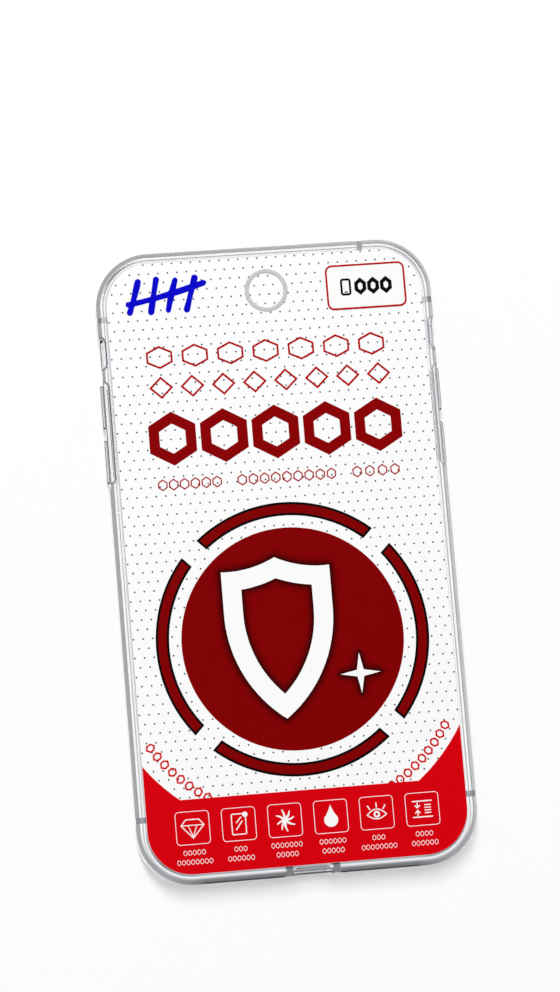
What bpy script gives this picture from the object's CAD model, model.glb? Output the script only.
"""The looks of the phone screen protector: materials, fine print, stage, light and camera."""

import math

import bmesh
import bpy
from mathutils import Euler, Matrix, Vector
from mathutils.bvhtree import BVHTree
from mathutils.kdtree import KDTree


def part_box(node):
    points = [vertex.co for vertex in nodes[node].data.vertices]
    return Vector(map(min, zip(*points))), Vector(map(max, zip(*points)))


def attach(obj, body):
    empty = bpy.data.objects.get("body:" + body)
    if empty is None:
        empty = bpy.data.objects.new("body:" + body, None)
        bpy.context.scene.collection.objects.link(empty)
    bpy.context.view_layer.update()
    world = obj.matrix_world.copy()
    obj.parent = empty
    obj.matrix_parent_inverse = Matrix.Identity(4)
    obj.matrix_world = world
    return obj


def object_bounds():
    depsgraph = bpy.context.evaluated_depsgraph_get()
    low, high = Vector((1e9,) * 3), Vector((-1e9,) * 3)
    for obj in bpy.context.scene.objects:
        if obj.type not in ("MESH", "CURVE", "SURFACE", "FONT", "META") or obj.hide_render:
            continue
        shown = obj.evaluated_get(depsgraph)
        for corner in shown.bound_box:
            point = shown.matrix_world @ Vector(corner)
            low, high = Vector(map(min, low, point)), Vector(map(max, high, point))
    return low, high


MM = 0.001

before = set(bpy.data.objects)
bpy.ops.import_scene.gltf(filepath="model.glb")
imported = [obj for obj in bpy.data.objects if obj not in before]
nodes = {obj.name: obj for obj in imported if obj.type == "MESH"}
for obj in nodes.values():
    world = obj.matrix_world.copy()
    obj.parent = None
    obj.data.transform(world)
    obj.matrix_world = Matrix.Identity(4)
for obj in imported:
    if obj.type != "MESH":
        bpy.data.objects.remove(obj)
cad_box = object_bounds()
scene = bpy.context.scene


def box_mm(node):
    """A node's lowest and highest corner, in millimetres."""
    low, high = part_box(node)
    return low / MM, high / MM


# Places on the face, in millimetres, read from the solids
sheet_high = box_mm("printed_sheet")[1]
label_low, label_high = box_mm("paper_label")
footer_low, footer_high = box_mm("footer_print")
roundel_low, roundel_high = box_mm("roundel_print")
heading_low, heading_high = box_mm("heading_print")
cad_low, cad_high = [corner / MM for corner in cad_box]
face = label_low.z
ink_top = footer_high.z
roundel = (roundel_low + roundel_high) / 2
segment_outer = (roundel_high.x - roundel_low.x) / 2
label = (label_low + label_high) / 2

# The frame's rim in plan, with outlines as centre, half sizes and corner
frame_side = 39.0
rim_shift, rim_corner = 0.12, 12.4
rim_outline = ((-rim_shift, -rim_shift), (frame_side - rim_shift, cad_high.y - rim_shift), rim_corner)
relief_side = 38.7
slot_y = 49.8
cover_ys = {1: (36.9, 24.2), -1: (37.8, 25.1)}
cover_half, cover_corner = ((cad_high.x - relief_side) / 2, 5.1), 0.3
scoop_reach, scoop_corner = 1.5, 1.425
slot_scoop, cover_scoop = 3.8, 11.85
scoops = []
covers = []
for side, ys in cover_ys.items():
    scoops.append(((side * frame_side, slot_y), (scoop_reach, slot_scoop), scoop_corner))
    scoops.append(((side * frame_side, sum(ys) / 2), (scoop_reach, cover_scoop), scoop_corner))
    covers += [((side * (relief_side + cover_half[0]), y), cover_half, cover_corner) for y in ys]
cover_ends = [((x + math.copysign(0.1, x), y + sign * half[1]), (0.3, 0.5), 0.1)
              for (x, y), half, _ in covers for sign in (1, -1)]
slot_marks = [
    ((-38.4, 52.75), (0.5, 0.4), 0.2),
    ((38.1, 51.3), (0.3, 0.3), 0.2),
    ((38.2, 45.7), (0.3, 0.3), 0.2),
]
port_outline = ((0.2, -cad_high.y), (4.3, 2.1), 1.2)
cover_middle, cover_top = 3.35, 5.12

# Bands across the rim, as place and half width, and where the rim turns to silver
upper_band = (57.5, 0.6)
lower_band = (-57.1, 0.6)
top_band = (23.0, 0.6)
port_band = (5.35, 0.65)
port_middle = 0.3
silver_start, silver_end = -59.0, -67.0
straight_end, corner_start = 24.0, 33.0

# Fine print
fine_ink, outline_ink = 0.03, 0.04
ring_centre = (0.45, 62.05)
ring_radius, ring_half, ring_fade = 4.5, 0.38, 0.22
segment_width = 3.05
segment_gap = 5.2
disc_radius = 25.5


# Materials

# The clear plastic's share of light let through, and its plain greys in sRGB levels
clear_share = 0.9
wall_level, underside_level, haze_level = 250, 254, 120
top_band_level, port_band_level = 166, 132


def srgb(red, green, blue):
    """A colour given in sRGB levels of 0 to 255, as linear values with alpha."""
    levels = [value / 255 for value in (red, green, blue)]
    return [v / 12.92 if v <= 0.04045 else ((v + 0.055) / 1.055) ** 2.4 for v in levels] + [1.0]


def grey(level):
    """A faintly cool grey of one sRGB level."""
    return srgb(level, min(level + 1, 255), min(level + 4, 255))


def clear_grey(level):
    """The base colour with which the clear plastic shows a grey. Light that goes through takes its root."""
    scattered = 1 - clear_share
    colour = []
    for shown in grey(level)[:3]:
        root = (math.sqrt(clear_share ** 2 + 4 * scattered * shown) - clear_share) / (2 * scattered)
        colour.append(root * root)
    return colour + [1.0]


class Finish:
    """A material on a Principled shader, whose colour, roughness and bump vary with noise on the object."""

    def __init__(self, name, roughness, specular=0.5):
        self.material = bpy.data.materials.new(name)
        self.material.use_nodes = True
        self.tree = self.material.node_tree
        self.shader = self.tree.nodes["Principled BSDF"]
        self.shader.inputs["Specular IOR Level"].default_value = specular
        self.coordinates = self.add("ShaderNodeTexCoord")
        self.place = self.coordinates.outputs["Object"]
        self.vary_roughness(roughness)

    def add(self, kind, **inputs):
        """A new node, with constants set on the sockets named."""
        node = self.tree.nodes.new(kind)
        for socket, value in inputs.items():
            node.inputs[socket.replace("_", " ")].default_value = value
        return node

    def link(self, output, node_input):
        self.tree.links.new(output, node_input)

    def noise(self, size, detail=2.0):
        """Noise with blotches of size millimetres."""
        texture = self.add("ShaderNodeTexNoise", Scale=1 / (size * MM), Detail=detail)
        self.link(self.place, texture.inputs["Vector"])
        return texture.outputs["Fac"]

    def span(self, value, low, high, start=0.0, end=1.0):
        """value, from start to end, as low to high."""
        node = self.add("ShaderNodeMapRange", From_Min=start, From_Max=end, To_Min=low, To_Max=high)
        self.link(value, node.inputs["Value"])
        return node.outputs["Result"]

    def mix(self, factor, first, second):
        """A colour between two, each a constant or another node's colour."""
        node = self.tree.nodes.new("ShaderNodeMix")
        node.data_type = "RGBA"
        self.link(factor, node.inputs["Factor"])
        colour_a, colour_b, result = node.inputs[6], node.inputs[7], node.outputs[2]
        for socket, colour in ((colour_a, first), (colour_b, second)):
            if isinstance(colour, list):
                socket.default_value = colour
            else:
                self.link(colour, socket)
        return result

    def math(self, operation, first, second=0.0):
        """What a Math node makes of two values, each a number or another node's value."""
        node = self.tree.nodes.new("ShaderNodeMath")
        node.operation = operation
        for socket, value in zip(node.inputs, (first, second)):
            if isinstance(value, float):
                socket.default_value = value
            else:
                self.link(value, socket)
        return node.outputs[0]

    def vector(self, operation, first, second=(0, 0, 0), result="Vector"):
        """What a Vector Math node makes of another node's vector and a fixed one."""
        node = self.tree.nodes.new("ShaderNodeVectorMath")
        node.operation = operation
        self.link(first, node.inputs[0])
        node.inputs[1].default_value = second
        return node.outputs[result]

    def axes(self, output):
        """The three parts of a vector."""
        node = self.tree.nodes.new("ShaderNodeSeparateXYZ")
        self.link(output, node.inputs[0])
        return node.outputs

    def near(self, value, middle, half, soft):
        """1 where value is within half of middle, fading to 0 over soft."""
        away = self.math("ABSOLUTE", self.math("SUBTRACT", value, middle))
        return self.span(away, 1.0, 0.0, half, half + soft)

    def plan(self):
        """A place's millimetres in plan."""
        return self.vector("MULTIPLY", self.place, (1 / MM, 1 / MM, 0))

    def largest(self, values):
        """The largest of some nodes' values."""
        top = values[0]
        for value in values[1:]:
            top = self.math("MAXIMUM", top, value)
        return top

    def depth_in(self, plan, outline):
        """How far inside a rounded rectangle a place is."""
        centre, half, corner = outline
        away = self.vector("ABSOLUTE", self.vector("SUBTRACT", plan, (*centre, 0)))
        beyond = self.vector("SUBTRACT", away, (half[0] - corner, half[1] - corner, 0))
        length = self.vector("LENGTH", self.vector("MAXIMUM", beyond), result="Value")
        return self.math("SUBTRACT", corner, length)

    def ramp(self, value, stops):
        """A grey for a value, from stops of that value and levels of 0 to 255."""
        first, last = stops[0][0], stops[-1][0]
        node = self.tree.nodes.new("ShaderNodeValToRGB")
        self.link(self.span(value, 0.0, 1.0, first, last), node.inputs["Fac"])
        elements = node.color_ramp.elements
        elements[0].color = clear_grey(stops[0][1])
        elements[1].color = clear_grey(stops[-1][1])
        for length, level in stops[1:-1]:
            elements.new((length - first) / (last - first)).color = clear_grey(level)
        return node.outputs["Color"]

    def paint(self, colour):
        self.link(colour, self.shader.inputs["Base Color"])

    def vary_colour(self, colour, share, size):
        """colour, darker by up to share in blotches of size millimetres."""
        dark = [value * (1 - share) for value in colour[:3]] + [1.0]
        return self.mix(self.noise(size), colour, dark)

    def vary_roughness(self, roughness, size=6.0):
        """roughness, up to spread more or less in blotches of size millimetres."""
        spread = 0.15
        varied = self.span(self.noise(size, 3.0), (1 - spread) * roughness, (1 + spread) * roughness)
        self.link(varied, self.shader.inputs["Roughness"])

    def bump(self, height, depth):
        """A bump of depth millimetres."""
        node = self.add("ShaderNodeBump", Distance=depth * MM)
        self.link(height, node.inputs["Height"])
        self.link(node.outputs["Normal"], self.shader.inputs["Normal"])


# Greys across the clear rim, as pairs of depth from its edge in plan, in millimetres, and level


def side_rim(level, line, groove):
    """The rim at the sides and the top: a grey band, a fine line and the groove inside the lip."""
    inner_line = 188
    return ((-0.1, level + 10), (0.1, level), (0.45, level + 8), (0.8, line), (0.9, line + 4), (0.96, 255),
            (1.4, 255), (1.46, inner_line), (1.64, inner_line), (1.7, 255),
            (1.98, 255), (2.08, groove + 10), (2.4, groove))


def scoop_rim(level):
    """A scoop: a line at its foot, white above it."""
    return ((0.24, level + 15), (0.34, level), (0.48, level), (0.56, 255),
            (1.98, 255), (2.08, 240), (2.4, 230))


BOTTOM_RIM = (
    (0.0, 5), (0.36, 12), (0.48, 110), (0.58, 130), (0.78, 120), (0.95, 130), (1.15, 150),
    (1.35, 182), (1.5, 228), (1.72, 248), (1.85, 236), (1.98, 218), (2.1, 212), (2.4, 212),
)
CORNER_RIM = (
    (0.0, 196), (0.25, 176), (0.6, 164), (0.95, 168), (1.2, 186), (1.45, 215), (1.65, 250),
    (1.85, 245), (2.0, 196), (2.15, 180), (2.4, 180),
)
PORT_RIM = (
    (0.0, 5), (0.3, 15), (0.48, 84), (0.68, 112), (0.86, 238), (1.04, 170), (1.18, 118),
    (1.36, 124), (1.5, 205), (1.64, 165), (1.8, 105), (1.96, 190), (2.1, 208),
)
UPPER_BAND = ((0.0, 132), (0.9, 138), (1.0, 198), (2.1, 204))
LOWER_BAND = ((0.0, 136), (0.9, 142), (1.0, 158), (2.1, 172))


class Rim:
    """The greys of the clear frame, by place in plan, from those of its left side to those of its right."""

    def __init__(self, finish):
        self.finish = finish
        self.plan = finish.plan()
        self.x, self.y = finish.axes(self.plan)[:2]
        self.depth = finish.depth_in(self.plan, rim_outline)
        self.to_right = finish.span(self.x, 0.0, 1.0, cad_low.x, cad_high.x)

    def between(self, left, right):
        """A grey, from the left side's level to the right side's."""
        return self.finish.mix(self.to_right, clear_grey(left), clear_grey(right))

    def across(self, stops):
        """The grey at a place's depth from the rim's edge."""
        return self.finish.ramp(self.depth, stops)

    def within(self, outlines):
        """How far inside the nearest of some outlines a place is."""
        return self.finish.largest([self.finish.depth_in(self.plan, outline) for outline in outlines])

    def sides(self):
        """The greys along the sides and the top."""
        left = side_rim(level=168, line=164, groove=224)
        right = side_rim(level=200, line=166, groove=250)
        return self.finish.mix(self.to_right, self.across(left), self.across(right))

    def corner_lines(self):
        """Where the rim is darker at its two upper corners, from 0 to 1, each with its grey."""
        finish = self.finish
        arc_start, arc_end, soft = 20.0, 60.0, 0.14
        from_middle = finish.math("ABSOLUTE", self.x)
        across_arc = finish.span(from_middle, 0.0, rim_corner, frame_side - rim_corner, frame_side)
        up_arc = finish.span(self.y, 0.0, rim_corner, cad_high.y - rim_corner, cad_high.y)
        arc = finish.span(finish.math("MULTIPLY", across_arc, up_arc), 0.0, 1.0, arc_start, arc_end)
        left = finish.math("MULTIPLY", arc, finish.math("LESS_THAN", self.x, 0.0))
        right = finish.math("MULTIPLY", arc, finish.math("GREATER_THAN", self.x, 0.0))
        lines = ((left, 1.35, 0.26, 138), (right, 0.75, 0.2, 160), (right, 1.6, 0.16, 182))
        for corner, middle, half, level in lines:
            at_line = finish.near(self.depth, middle, half, soft)
            yield finish.math("MULTIPLY", corner, at_line), clear_grey(level)

    def scooped(self, tone):
        """tone, with the scoops round the slots and covers, and the dark marks at the slots' ends."""
        finish = self.finish
        foot, outline, dark = (110, 165), (128, 178), (50, 100)
        scoop = self.within(scoops)
        slope = finish.mix(self.to_right, *[self.across(scoop_rim(level)) for level in foot])
        tone = finish.mix(finish.span(scoop, 0.0, 1.0, 0.0, 0.08), tone, slope)
        tone = finish.mix(finish.near(scoop, 0.0, 0.16, 0.06), tone, self.between(*outline))
        mark = finish.span(self.within(slot_marks), 0.0, 1.0, 0.0, 0.15)
        return finish.mix(mark, tone, self.between(*dark))

    def silver(self):
        """The greys of the bottom edge: silver, darker in the port's notch, paler round the corners."""
        finish = self.finish
        port = finish.span(self.within([port_outline]), 0.0, 1.0, 0.0, 0.1)
        edge = finish.mix(port, self.across(BOTTOM_RIM), self.across(PORT_RIM))
        turning = finish.span(finish.math("ABSOLUTE", self.x), 0.0, 1.0, straight_end, corner_start)
        return finish.mix(turning, edge, self.across(CORNER_RIM))

    def bands(self):
        """Where each band across the rim lies, from 0 to 1, each with its grey."""
        finish = self.finish
        soft = 0.15
        at_top = finish.math("GREATER_THAN", self.y, 0.0)
        at_bottom = finish.math("LESS_THAN", self.y, 0.0)
        from_port = finish.math("ABSOLUTE", finish.math("SUBTRACT", self.x, port_middle))
        beside_port = finish.near(from_port, *port_band, 3 * soft)
        across_top = finish.near(self.x, *top_band, soft)
        yield finish.near(self.y, *upper_band, soft), self.across(UPPER_BAND)
        yield finish.near(self.y, *lower_band, soft), self.across(LOWER_BAND)
        yield finish.math("MULTIPLY", across_top, at_top), clear_grey(top_band_level)
        yield finish.math("MULTIPLY", beside_port, at_bottom), clear_grey(port_band_level)

    def cover_tone(self):
        """The greys of the button covers, dark at their edges and ends, and of the walls beside them."""
        finish = self.finish
        edge, top_level, end_level = (146, 140), 222, 70
        cover = self.within(covers)
        top = finish.span(cover, 0.0, 1.0, 0.14, 0.22)
        tone = finish.mix(top, self.between(*edge), clear_grey(top_level))
        at_end = finish.span(self.within(cover_ends), 0.0, 1.0, 0.0, 0.1)
        tone = finish.mix(at_end, tone, clear_grey(end_level))
        return finish.mix(finish.span(cover, 0.0, 1.0, -0.06, 0.0), clear_grey(wall_level), tone)

    def top_tone(self):
        """The greys of the rim's top: its sides, upper corners, scoops, silver bottom edge and bands."""
        finish = self.finish
        tone = self.sides()
        for line, colour in self.corner_lines():
            tone = finish.mix(line, tone, colour)
        to_bottom = finish.span(self.y, 0.0, 1.0, silver_start, silver_end)
        tone = finish.mix(to_bottom, self.scooped(tone), self.silver())
        for band, colour in self.bands():
            tone = finish.mix(band, tone, colour)
        return tone

    def tone(self):
        """The greys of the whole frame, plain on its walls and underside."""
        finish = self.finish
        z = finish.math("MULTIPLY", finish.axes(finish.place)[2], 1 / MM)
        upright = finish.axes(finish.coordinates.outputs["Normal"])[2]
        below = finish.span(z, 1.0, 0.0, cover_top, cover_top + 0.05)
        tone = finish.mix(below, self.top_tone(), self.cover_tone())
        tone = finish.mix(finish.span(upright, 0.0, 1.0, 0.12, 0.3), clear_grey(wall_level), tone)
        tone = finish.mix(finish.span(finish.noise(5.0), 0.0, 0.06), tone, clear_grey(haze_level))
        underside = finish.span(z, 1.0, 0.0, cover_middle, cover_middle + 0.1)
        return finish.mix(underside, tone, clear_grey(underside_level))


def clear_plastic():
    """Polished clear plastic: grey on its rounds and along its edges, white between, silver at the bottom."""
    finish = Finish("clear_plastic", roughness=0.05, specular=0.25)
    sockets = {"Transmission Weight": clear_share, "IOR": 1.1, "Coat Weight": 0.05, "Coat Roughness": 0.05}
    for socket, value in sockets.items():
        finish.shader.inputs[socket].default_value = value
    finish.paint(Rim(finish).tone())
    finish.bump(finish.noise(9.0, 1.0), depth=0.01)
    return finish.material


def tempered_glass():
    """Clear glass with a faint green cast."""
    finish = Finish("tempered_glass", roughness=0.02)
    finish.shader.inputs["Base Color"].default_value = srgb(232, 247, 244)
    finish.shader.inputs["Transmission Weight"].default_value = 1.0
    finish.shader.inputs["IOR"].default_value = 1.5
    finish.bump(finish.noise(14.0, 1.0), depth=0.004)
    return finish.material


def liner_film():
    """Frosted film, milky, with fine grain."""
    finish = Finish("liner_film", roughness=0.45)
    finish.paint(finish.vary_colour(srgb(233, 238, 240), share=0.06, size=18.0))
    finish.shader.inputs["Transmission Weight"].default_value = 0.25
    finish.bump(finish.noise(0.35), depth=0.004)
    return finish.material


def white_film():
    """White film with a satin sheen, grey where the ring is pressed into it."""
    finish = Finish("white_film", roughness=0.45, specular=0.12)
    centre = Vector((*ring_centre, face)) * MM
    away = finish.vector("DISTANCE", finish.place, centre, result="Value")
    pressed = finish.near(away, ring_radius * MM, ring_half * MM, ring_fade * MM)
    white = finish.vary_colour(srgb(252, 252, 252), share=0.008, size=22.0)
    worn = finish.vary_colour(srgb(203, 205, 207), share=0.1, size=1.5)
    finish.paint(finish.mix(pressed, white, worn))
    finish.bump(finish.noise(0.5), depth=0.002)
    return finish.material


def label_paper():
    """Coated white paper with a fine fibre grain."""
    finish = Finish("label_paper", roughness=0.5, specular=0.3)
    finish.paint(finish.vary_colour(srgb(250, 250, 249), share=0.02, size=0.4))
    finish.bump(finish.noise(0.12, 4.0), depth=0.006)
    return finish.material


def ink(name, colour, share=0.03, shade=None):
    """Print ink, a little uneven. shade names a point attribute that darkens it."""
    finish = Finish(name, roughness=0.5, specular=0.01)
    tone = finish.vary_colour(colour, share, size=8.0)
    if shade:
        attribute = finish.tree.nodes.new("ShaderNodeAttribute")
        attribute.attribute_name = shade
        tone = finish.mix(finish.span(attribute.outputs["Fac"], 0.0, 0.97), tone, [0.0, 0.0, 0.0, 1.0])
    finish.paint(tone)
    finish.bump(finish.noise(0.3), depth=0.003)
    return finish.material


def marker_ink():
    """Felt-pen ink, streaky where it was laid on thick."""
    finish = Finish("marker_ink", roughness=0.5, specular=0.02)
    finish.paint(finish.mix(finish.noise(1.1, 3.0), srgb(0, 0, 188), srgb(0, 0, 214)))
    finish.bump(finish.noise(0.4), depth=0.004)
    return finish.material


# Flat print


def on_circle(centre, radius, angle):
    """The point of a circle at an angle in degrees."""
    turn = math.radians(angle)
    return centre[0] + radius * math.cos(turn), centre[1] + radius * math.sin(turn)


def circle(centre, radius, count, start=0.0, end=360.0):
    """Points on a circle or an arc, angles in degrees. A whole circle doesn't repeat its first point."""
    steps = count if end - start >= 360.0 else count - 1
    return [on_circle(centre, radius, start + (end - start) * i / steps) for i in range(count)]


def rounded_rectangle(centre, width, height, corner, steps=6):
    """The outline of a rounded rectangle, anticlockwise."""
    points = []
    for start, sx, sy in ((0, 1, 1), (90, -1, 1), (180, -1, -1), (270, 1, -1)):
        middle = (centre[0] + sx * (width / 2 - corner), centre[1] + sy * (height / 2 - corner))
        points += circle(middle, corner, steps, start, start + 90)
    return points


def shape(centre, width, height, corners):
    """Corners given in half widths and half heights, placed at centre."""
    return [(centre[0] + x * width / 2, centre[1] + y * height / 2) for x, y in corners]


HEXAGON = [(1, 0.45), (0, 1), (-1, 0.45), (-1, -0.45), (0, -1), (1, -0.45)]
DIAMOND = [(1, 0), (0, 1), (-1, 0), (0, -1)]


def turned(points, centre, degrees):
    """points turned about centre."""
    c, s = math.cos(math.radians(degrees)), math.sin(math.radians(degrees))
    out = []
    for x, y in points:
        dx, dy = x - centre[0], y - centre[1]
        out.append((centre[0] + c * dx - s * dy, centre[1] + s * dx + c * dy))
    return out


def bend(first, control, last, count=16):
    """Points on a quadratic curve."""
    points = []
    for i in range(count):
        t = i / (count - 1)
        a, b, c = (1 - t) ** 2, 2 * t * (1 - t), t * t
        points.append(tuple(a * p + b * q + c * r for p, q, r in zip(first, control, last)))
    return points


class Print:
    """Ink of one colour laid on one level of the face, gathered into one mesh of closed solids."""

    def __init__(self, level, thickness=fine_ink):
        self.mesh = bmesh.new()
        self.level = level
        self.thickness = thickness
        self.shapes = 0

    def next_levels(self):
        """The levels of a new shape's bottom and top. Tops differ a little, so that shapes can cross."""
        self.shapes += 1
        return self.level, self.level + self.thickness * (1 + 0.03 * (self.shapes % 8))

    def point(self, x, y, z):
        return self.mesh.verts.new((x * MM, y * MM, z * MM))

    def fill(self, outline):
        """A filled outline."""
        low, high = [[self.point(x, y, z) for x, y in outline] for z in self.next_levels()]
        self.mesh.faces.new(low[::-1])
        self.mesh.faces.new(high)
        for i in range(len(outline)):
            j = (i + 1) % len(outline)
            self.mesh.faces.new((low[i], low[j], high[j], high[i]))

    def line(self, points, width, closed=False):
        """A line of some width, which is one number or one for each point."""
        widths = width if isinstance(width, list) else [width] * len(points)
        levels = self.next_levels()
        sections = []
        for i, (x, y) in enumerate(points):
            side, reach = across(points, i, closed)
            half = reach * widths[i] / 2
            edges = [(x + side.x * half, y + side.y * half), (x - side.x * half, y - side.y * half)]
            low, high = [[self.point(*edge, z) for edge in edges] for z in levels]
            sections.append((low[0], low[1], high[1], high[0]))
        count = len(sections)
        for i in range(count if closed else count - 1):
            a, b = sections[i], sections[(i + 1) % count]
            for k in range(4):
                m = (k + 1) % 4
                self.mesh.faces.new((a[k], a[m], b[m], b[k]))
        if not closed:
            self.mesh.faces.new(sections[0][::-1])
            self.mesh.faces.new(sections[-1])

    def piece(self, name, material, slot=None):
        """The finished piece, riding on the object."""
        ride_piece(self.mesh, name, material)


def across(points, i, closed):
    """The direction across a line at one of its points, and how much further its mitre reaches."""
    count = len(points)
    before = points[i - 1] if i or closed else None
    after = points[(i + 1) % count] if i < count - 1 or closed else None
    here = Vector(points[i])
    runs = []
    if before:
        runs.append((here - Vector(before)).normalized())
    if after:
        runs.append((Vector(after) - here).normalized())
    along = sum(runs, Vector((0, 0))).normalized()
    return Vector((-along.y, along.x)), min(1 / max(along.dot(runs[0]), 0.1), 2.0)


def ride_piece(mesh, name, material):
    """A piece with the mesh that was drawn, riding on the object."""
    bmesh.ops.recalc_face_normals(mesh, faces=mesh.faces)
    data = bpy.data.meshes.new(name)
    mesh.to_mesh(data)
    mesh.free()
    data.materials.append(material)
    piece = bpy.data.objects.new(name, data)
    scene.collection.objects.link(piece)
    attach(piece, "root")


def dot_print():
    """Small dots all over the white of the sheet, in staggered rows."""
    pitch, row_pitch, row_shift, radius = 2.2, 2.15, 0.45, 0.22
    margin, corner = 0.05, 10.1
    reach_x = sheet_high.x - margin - corner
    reach_y = sheet_high.y - margin - corner
    graph = bpy.context.evaluated_depsgraph_get()
    printed = ("footer_print", "roundel_print", "heading_print", "paper_label")
    trees = [BVHTree.FromObject(nodes[name], graph) for name in printed]

    def is_bare(x, y):
        """Whether the sheet is white there, inside its rounded outline."""
        if math.hypot(max(abs(x) - reach_x, 0), max(abs(y) - reach_y, 0)) > corner:
            return False
        if math.hypot(x - roundel.x, y - roundel.y) < disc_radius:
            return False
        above = Vector((x, y, sheet_high.z + 1)) * MM
        return all(tree.ray_cast(above, Vector((0, 0, -1)), 0.01)[0] is None for tree in trees)

    dots = Print(face, thickness=0.02)
    rows = int(sheet_high.y / row_pitch)
    columns = int(sheet_high.x / pitch) + 1
    for number in range(-rows, rows + 1):
        y = (number + row_shift) * row_pitch
        stagger = 0.5 * ((number + 1) % 2)
        for column in range(-columns, columns + 1):
            x = (column + stagger) * pitch
            outline = circle((x, y), radius, 10)
            if is_bare(x, y) and all(is_bare(*point) for point in outline[::2]):
                dots.fill(outline)
    dots.piece("dot_print", ink("grey_ink", srgb(92, 94, 98)))


def row(count, first, last, y):
    """Centres of a row of marks."""
    return [(first + (last - first) * i / (count - 1), y) for i in range(count)]


def heading_rows():
    """Two rows of thin outlines over the bold hexagons, and a row of small ones under them."""
    stroke, small_stroke = 0.46, 0.3
    hexagons_y, diamonds_y = heading_high.y + 12.7, heading_high.y + 5.65
    small_y = heading_low.y - 4.35
    thin = Print(face, outline_ink)
    for centre in row(7, -25.4, 23.8, hexagons_y):
        thin.line(shape(centre, 5.6, 4.9, HEXAGON), stroke, closed=True)
    for centre in row(8, -25.5, 24.9, diamonds_y):
        thin.line(shape(centre, 4.9, 4.6, DIAMOND), stroke, closed=True)
    thin.piece("heading_rows", ink("heading_ink", srgb(180, 0, 3)), "dark_red_ink")
    small = Print(face, outline_ink)
    for count, first, last in ((6, -26.9, -14.4), (9, -8.6, 12.0), (4, 18.0, 26.8)):
        for centre in row(count, first, last, small_y):
            small.line(shape(centre, 1.9, 2.4, HEXAGON), small_stroke, closed=True)
    small.piece("small_row", ink("small_row_ink", srgb(172, 0, 3)), "dark_red_ink")


def segment_outlines():
    """Black lines round the four segments of the roundel."""
    width = 0.54
    outer = segment_outer - width / 2
    inner = segment_outer - segment_width + width / 2
    lines = Print(ink_top)
    for quarter in range(4):
        points = []
        for radius, direction in ((outer, 1), (inner, -1)):
            reach = 45 - math.degrees(math.asin((segment_gap + width) / 2 / radius))
            arc = circle(roundel, radius, 36, 90 * quarter - reach, 90 * quarter + reach)
            points += arc[::direction]
        lines.line(points, width, closed=True)
    lines.piece("segment_outlines", ink("black_ink", srgb(8, 6, 7)))


def emblem_loops():
    """The edges of the ink round the emblem, as loops of points with the ink on their left."""
    mesh = bmesh.new()
    mesh.from_mesh(nodes["roundel_print"].data)
    bmesh.ops.remove_doubles(mesh, verts=mesh.verts, dist=1e-6)
    border = {}
    for edge in mesh.edges:
        tops = [f for f in edge.link_faces if f.normal.z > 0.9]
        if len(tops) == 1 and len(edge.link_faces) == 2:
            for loop in tops[0].loops:
                if loop.edge == edge:
                    border[loop.vert] = loop.link_loop_next.vert
    loops = []
    while border:
        start, following = border.popitem()
        chain = [start]
        while following != start:
            chain.append(following)
            following = border.pop(following)
        points = [Vector((v.co.x, v.co.y)) / MM for v in chain]
        if max((p - roundel.xy).length for p in points) < disc_radius - 1:
            loops.append(spaced(points, gap=0.1))
    mesh.free()
    return loops


def spaced(points, gap):
    """points without those that are closer than gap to the one before."""
    kept = points[:1]
    for point in points[1:]:
        if (point - kept[-1]).length > gap and (point - kept[0]).length > gap:
            kept.append(point)
    return kept


def divided(points, gap):
    """A closed line's points, with more between them so that none are further apart than gap."""
    out = []
    for i, here in enumerate(points):
        run = points[(i + 1) % len(points)] - here
        count = math.ceil(run.length / gap)
        out += [here + run * k / count for k in range(count)]
    return out


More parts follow.
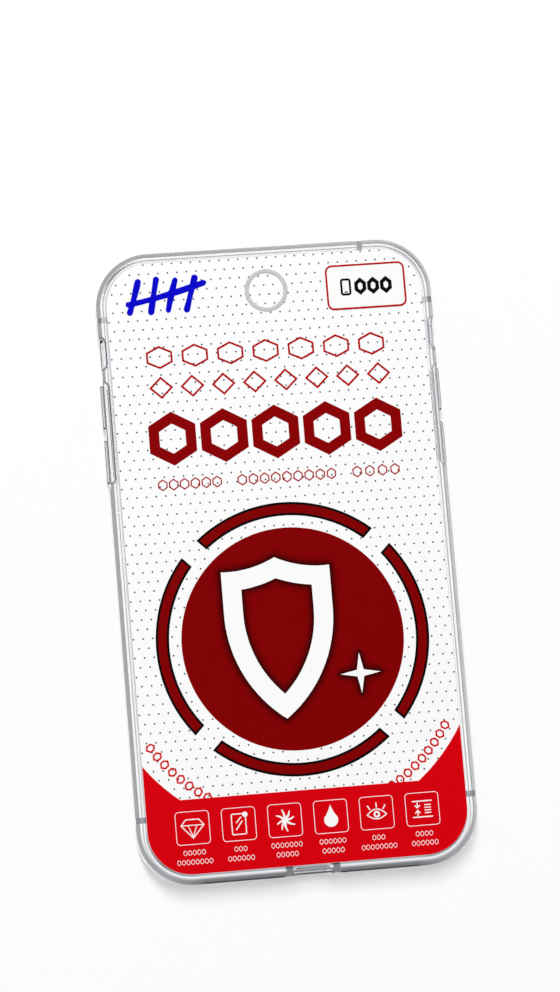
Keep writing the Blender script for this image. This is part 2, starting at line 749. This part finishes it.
class Border:
    """A soft dark border round the emblem, on the ink beside its edges."""

    reach = 2.2
    steps = 8
    thickness = 0.01
    fade = 1.6

    def __init__(self, loops):
        points = [p for loop in loops for p in divided(loop, gap=0.1)]
        self.edges = KDTree(len(points))
        for number, p in enumerate(points):
            self.edges.insert((p.x, p.y, 0), number)
        self.edges.balance()
        self.mesh = bmesh.new()
        self.shade = self.mesh.verts.layers.float.new("shade")
        for loop in loops:
            self.surround(divided(loop, gap=0.5))

    def distance(self, at):
        """How far a place is from the emblem."""
        return self.edges.find((at.x, at.y, 0))[2]

    def outward(self, start, direction):
        """direction, at the length that takes a place on an edge one millimetre away from the emblem."""
        step = 0.2
        return direction * step / self.distance(start + direction * step)

    def room(self, start, outward):
        """How far the border can go outward from one place before it meets the rest of itself."""
        step, clear = 0.1, 0.95
        room = 0.0
        while room < self.reach:
            if self.distance(start + outward * (room + step)) < clear * (room + step):
                break
            room += step
        return min(max(room, step), self.reach)

    def runs(self, loop):
        """The way outward at each place of a loop, and how far the border goes there."""
        straight = 1.02
        points = [tuple(p) for p in loop]
        count = len(loop)
        turns = [across(points, i, closed=True) for i in range(count)]
        outward = [self.outward(p, side * mitre) for p, (side, mitre) in zip(loop, turns)]
        rooms = [self.room(p, out) for p, out in zip(loop, outward)]
        for i, (_, mitre) in enumerate(turns):
            if mitre > straight:
                rooms[i] = min(rooms[i - 1], rooms[i], rooms[(i + 1) % count])
        return outward, rooms

    def surround(self, loop):
        """The border along one of the emblem's edges."""
        outward, rooms = self.runs(loop)
        rings = []
        for step in range(self.steps + 1):
            share = step / self.steps
            rings.append([self.pair(p + out * room * share) for p, out, room in zip(loop, outward, rooms)])
        for i in range(len(loop)):
            j = (i + 1) % len(loop)
            for inner, outer in zip(rings, rings[1:]):
                self.mesh.faces.new((inner[i][1], inner[j][1], outer[j][1], outer[i][1]))
                self.mesh.faces.new((inner[i][0], outer[i][0], outer[j][0], inner[j][0]))
            for ring in (rings[0], rings[-1]):
                self.mesh.faces.new((ring[i][0], ring[j][0], ring[j][1], ring[i][1]))

    def pair(self, at):
        """The two points of the border's underside and top at one place."""
        darkness = max(1 - self.distance(at) / self.reach, 0.0) ** self.fade
        points = []
        for z in (ink_top, ink_top + self.thickness):
            points.append(self.mesh.verts.new((at.x * MM, at.y * MM, z * MM)))
            points[-1][self.shade] = darkness
        return points


def emblem_shadow():
    """The soft dark border printed round the white emblem."""
    border = Border(emblem_loops())
    shaded = ink("shaded_ink", disc_colour, shade="shade")
    ride_piece(border.mesh, "emblem_shadow", shaded)


def apron_marks():
    """Small red outlines along the edge of the white above the footer's wings."""
    radius, stroke = 41.0, 0.4
    marks = Print(face, outline_ink)
    for count, first, last, x in ((8, 213.0, 237.0, 0.0), (9, -59.0, -33.0, -1.3)):
        for i in range(count):
            angle = first + (last - first) * i / (count - 1)
            centre = on_circle((x, roundel.y), radius, angle)
            outline = shape(centre, 1.5, 2.0, HEXAGON)
            marks.line(turned(outline, centre, angle + 90), stroke, closed=True)
    marks.piece("apron_marks", ink("apron_ink", srgb(212, 2, 12)), "red_ink")


def label_print():
    """A thin red border on the label, and bold black marks in its middle."""
    stroke = 0.46
    border = Print(label_high.z)
    size = label_high - label_low
    border.line(rounded_rectangle(label, size.x - stroke, size.y - stroke, 1.4), stroke, closed=True)
    border.piece("label_border", ink("label_red_ink", srgb(184, 14, 20)), "red_ink")
    marks = Print(label_high.z)
    x, y = label.x, label.y
    marks.line(rounded_rectangle((x - 4.7, y), 2.0, 3.5, 0.4), 0.5, closed=True)
    marks.line([(x - 5.1, y - 1.2), (x - 4.3, y - 1.2)], 0.3)
    for centre in row(3, x - 1.3, x + 4.7, y):
        marks.line(shape(centre, 1.9, 3.0, HEXAGON), 0.85, closed=True)
    marks.piece("label_marks", ink("label_black_ink", srgb(10, 9, 10)))


def pen_widths(count, length, number):
    """A pen stroke's width at each of its points: round at the ends, and a hand's uneven width."""
    width, uneven = 1.4, 0.1
    widths = []
    for i in range(count):
        t = i / (count - 1)
        end = min(t, 1 - t) * length / (width / 2)
        rounding = math.sqrt(max(1 - max(1 - end, 0) ** 2, 0.05))
        widths.append(width * rounding * (1.0 + uneven * math.sin(7 * t + 2.3 * number)))
    return widths


def marker_tally():
    """Strokes of blue felt pen, each as its ends and the point that it bends towards."""
    tally = Print(face, thickness=0.05)
    strokes = [
        ((-28.8, 66.6), (-29.9, 62.5), (-31.6, 58.2)),
        ((-24.6, 66.9), (-25.6, 62.6), (-26.6, 58.0)),
        ((-20.2, 66.4), (-21.6, 62.4), (-22.6, 58.3)),
        ((-15.6, 66.8), (-16.9, 62.8), (-18.4, 58.1)),
        ((-32.2, 60.6), (-23.0, 62.0), (-13.2, 65.0)),
    ]
    for number, stroke in enumerate(strokes):
        points = bend(*stroke, count=40)
        length = (Vector(stroke[2]) - Vector(stroke[0])).length
        tally.line(points, pen_widths(len(points), length, number))
    tally.piece("marker_tally", marker_ink())


def icon_gem(white, x, y):
    """A cut stone."""
    edge, facet = 0.24, 0.2
    girdle = y + 0.6
    outline = [(x - 1.5, y + 1.9), (x + 1.5, y + 1.9), (x + 2.6, girdle), (x, y - 2.3), (x - 2.6, girdle)]
    white.line(outline, edge, closed=True)
    white.line([(x - 2.5, girdle), (x + 2.5, girdle)], facet)
    for start in (x - 1.0, x + 1.0):
        white.line([(start, girdle), (x, y - 2.0)], facet)


def icon_screen(white, x, y):
    """A phone's screen with glints."""
    edge, glint = 0.24, 0.26
    white.line(rounded_rectangle((x, y), 3.2, 4.6, 0.25, 4), edge, closed=True)
    white.line([(x - 0.7, y - 1.3), (x + 0.8, y + 0.7)], glint)
    white.line([(x - 0.6, y + 0.3), (x + 0.6, y + 1.6)], glint)
    white.fill(circle((x + 1.5, y + 2.1), 0.62, 14))


def icon_burst(white, x, y):
    """Cracks running from one point, given as angles and lengths, each with a bend in it."""
    cracks = ((10, 2.2), (52, 2.4), (95, 2.5), (140, 2.3), (195, 2.0), (240, 2.3), (272, 2.6), (325, 2.5))
    turn, turn_share = 9, 0.6
    for angle, length in cracks:
        middle = on_circle((x, y), turn_share * length, angle)
        end = on_circle((x, y), length, angle + turn)
        white.line([(x, y), middle, end], [0.6, 0.42, 0.24])


def icon_drop(white, x, y):
    """A drop of water."""
    white.fill(bend((x, y + 2.7), (x - 0.4, y + 1.4), (x - 1.2, y + 0.2), 8)
               + circle((x, y - 0.75), 1.6, 22, 148, 392)
               + bend((x + 1.2, y + 0.2), (x + 0.4, y + 1.4), (x, y + 2.7), 8)[:-1])


def icon_eye(white, x, y):
    """An eye with lashes."""
    stroke = 0.26
    left, right = (x - 2.2, y - 0.4), (x + 2.2, y - 0.4)
    upper = bend(left, (x, y + 2.0), right, 14)
    lower = bend(right, (x, y - 2.4), left, 14)
    white.line(upper + lower[1:-1], stroke, closed=True)
    white.line(circle((x, y - 0.35), 0.55, 18), 0.42, closed=True)
    for angle in (58, 90, 122):
        white.line([on_circle((x, y - 1.6), radius, angle) for radius in (2.75, 3.9)], stroke)


def icon_thin(white, x, y):
    """A thin layer between two lines, with arrows that point at its middle."""
    line, arrow, layer = 0.28, 0.26, 0.24
    for height in (1.8, -1.8):
        white.line([(x - 2.3, y + height), (x + 2.3, y + height)], line)
    for sign in (1, -1):
        tip, barb, tail = [y + height * sign for height in (0.3, 0.9, 1.5)]
        white.line([(x - 1.1, tip), (x - 1.1, tail)], arrow)
        white.line([(x - 1.7, barb), (x - 1.1, tip), (x - 0.5, barb)], arrow)
    for height in (0.9, 0.3, -0.3, -0.9):
        white.line([(x + 0.5, y + height), (x + 2.0, y + height)], layer)


def footer_icons():
    """Six white icons in rounded squares, each over two short rows of small outlines."""
    square_stroke, caption_stroke, caption_pitch = 0.14, 0.11, 1.04
    white = Print(ink_top)
    icons = (icon_gem, icon_screen, icon_burst, icon_drop, icon_eye, icon_thin)
    captions = ((5, 8), (3, 6), (7, 5), (6, 5), (3, 8), (4, 6))
    centres = row(len(icons), -26.25, 26.25, footer_low.y + 10.4)
    for draw, (x, y), lengths in zip(icons, centres, captions):
        white.line(rounded_rectangle((x, y), 7.6, 7.4, 0.8), square_stroke, closed=True)
        draw(white, x, y)
        for length, drop in zip(lengths, (5.55, 7.65)):
            reach = caption_pitch / 2 * (length - 1)
            for centre in row(length, x - reach, x + reach, y - drop):
                white.line(shape(centre, 0.72, 1.15, HEXAGON), caption_stroke, closed=True)
    white.piece("footer_icons", ink("white_ink", srgb(253, 250, 250), 0.01))


# Stage, light and camera


def studio_floor():
    """A wide white floor, a little under the object, that keeps its shadow."""
    reach, drop = 3.0, 0.0001
    corners = [(-reach, -reach, 0), (reach, -reach, 0), (reach, reach, 0), (-reach, reach, 0)]
    data = bpy.data.meshes.new("floor")
    data.from_pydata(corners, [], [(0, 1, 2, 3)])
    data.materials.append(floor_white())
    floor = bpy.data.objects.new("floor", data)
    floor.location.z = -drop
    scene.collection.objects.link(floor)


def floor_white():
    """The floor's finish: brought up to white for the camera, plain white through glass and in gloss."""
    brought_up = 0.42
    material = bpy.data.materials.new("floor")
    material.use_nodes = True
    tree = material.node_tree
    shader = tree.nodes["Principled BSDF"]
    shader.inputs["Base Color"].default_value = (0.58, 0.58, 0.58, 1.0)
    shader.inputs["Roughness"].default_value = 0.9
    shader.inputs["Specular IOR Level"].default_value = 0.0
    shader.inputs["Emission Color"].default_value = (1.0, 1.0, 1.0, 1.0)
    path = tree.nodes.new("ShaderNodeLightPath")
    share = tree.nodes.new("ShaderNodeMath")
    share.operation = "MULTIPLY"
    share.inputs[1].default_value = brought_up
    tree.links.new(path.outputs["Is Camera Ray"], share.inputs[0])
    tree.links.new(share.outputs[0], shader.inputs["Emission Strength"])
    glow = tree.nodes.new("ShaderNodeEmission")
    mixer = tree.nodes.new("ShaderNodeMixShader")
    tree.links.new(seen_in_gloss(tree, path), mixer.inputs["Fac"])
    tree.links.new(shader.outputs[0], mixer.inputs[1])
    tree.links.new(glow.outputs[0], mixer.inputs[2])
    tree.links.new(mixer.outputs[0], tree.nodes["Material Output"].inputs["Surface"])
    return material


def seen_in_gloss(tree, path):
    """1 for rays that come through glass or off a polished surface."""
    either = tree.nodes.new("ShaderNodeMath")
    either.operation = "MAXIMUM"
    for socket, kind in zip(either.inputs, ("Is Glossy Ray", "Is Transmission Ray")):
        tree.links.new(path.outputs[kind], socket)
    return either.outputs[0]


def smooth_span(tree, value, low, high, start, end):
    """value, from start to end, as low to high with soft ends. low may be another node's value."""
    node = tree.nodes.new("ShaderNodeMapRange")
    node.interpolation_type = "SMOOTHSTEP"
    tree.links.new(value, node.inputs["Value"])
    ends = {"From Min": start, "From Max": end, "To Min": low, "To Max": high}
    for socket, number in ends.items():
        if isinstance(number, float):
            node.inputs[socket].default_value = number
        else:
            tree.links.new(number, node.inputs[socket])
    return node.outputs["Result"]


def studio_world():
    """Even light from above, dimmer towards the horizon, most of all beyond the bottom edge."""
    overhead, beyond_top, beyond_bottom = 0.2, 0.25, 0.06
    world = bpy.data.worlds.new("studio")
    scene.world = world
    world.use_nodes = True
    tree = world.node_tree
    background = tree.nodes["Background"]
    background.inputs["Color"].default_value = (1.0, 1.0, 1.0, 1.0)
    place = tree.nodes.new("ShaderNodeTexCoord")
    axes = tree.nodes.new("ShaderNodeSeparateXYZ")
    tree.links.new(place.outputs["Generated"], axes.inputs[0])
    horizon = smooth_span(tree, axes.outputs["Y"], beyond_bottom, beyond_top, -0.9, 0.6)
    strength = smooth_span(tree, axes.outputs["Z"], horizon, overhead, 0.02, 0.55)
    tree.links.new(strength, background.inputs["Strength"])


def studio_lamp():
    """A soft lamp over the top edge, to the left."""
    data = bpy.data.lights.new("softbox", "AREA")
    data.shape = "RECTANGLE"
    data.size = 0.25
    data.size_y = 1.4
    data.energy = 52.5
    lamp = bpy.data.objects.new("softbox", data)
    lamp.location = (-0.2, 0.85, 2.3)
    lamp.rotation_euler = (-lamp.location).to_track_quat("-Z", "Y").to_euler()
    scene.collection.objects.link(lamp)


def photo_camera():
    """The camera at the photograph's place."""
    data = bpy.data.cameras.new("camera")
    data.sensor_width = 36.0
    data.lens = 108.87
    data.clip_start = 0.01
    camera = bpy.data.objects.new("camera", data)
    camera.location = Vector((-69.51, -60.5, 688.05)) * MM
    camera.rotation_euler = Euler([math.radians(angle) for angle in (6.6854, -5.2763, -4.7413)])
    scene.collection.objects.link(camera)
    scene.camera = camera


disc_colour = srgb(130, 0, 2)
finishes = {
    "alignment_frame": clear_plastic(),
    "printed_sheet": white_film(),
    "tempered_glass": tempered_glass(),
    "release_liner": liner_film(),
    "paper_label": label_paper(),
    "footer_print": ink("red_ink", srgb(216, 0, 14)),
    "roundel_print": ink("dark_red_ink", disc_colour),
    "heading_print": ink("heading_bold_ink", srgb(138, 0, 3)),
}
for name, finish in finishes.items():
    nodes[name].data.materials.clear()
    nodes[name].data.materials.append(finish)

dot_print()
heading_rows()
segment_outlines()
emblem_shadow()
apron_marks()
label_print()
marker_tally()
footer_icons()
studio_floor()
studio_world()
studio_lamp()
photo_camera()
scene.view_settings.view_transform = "Standard"
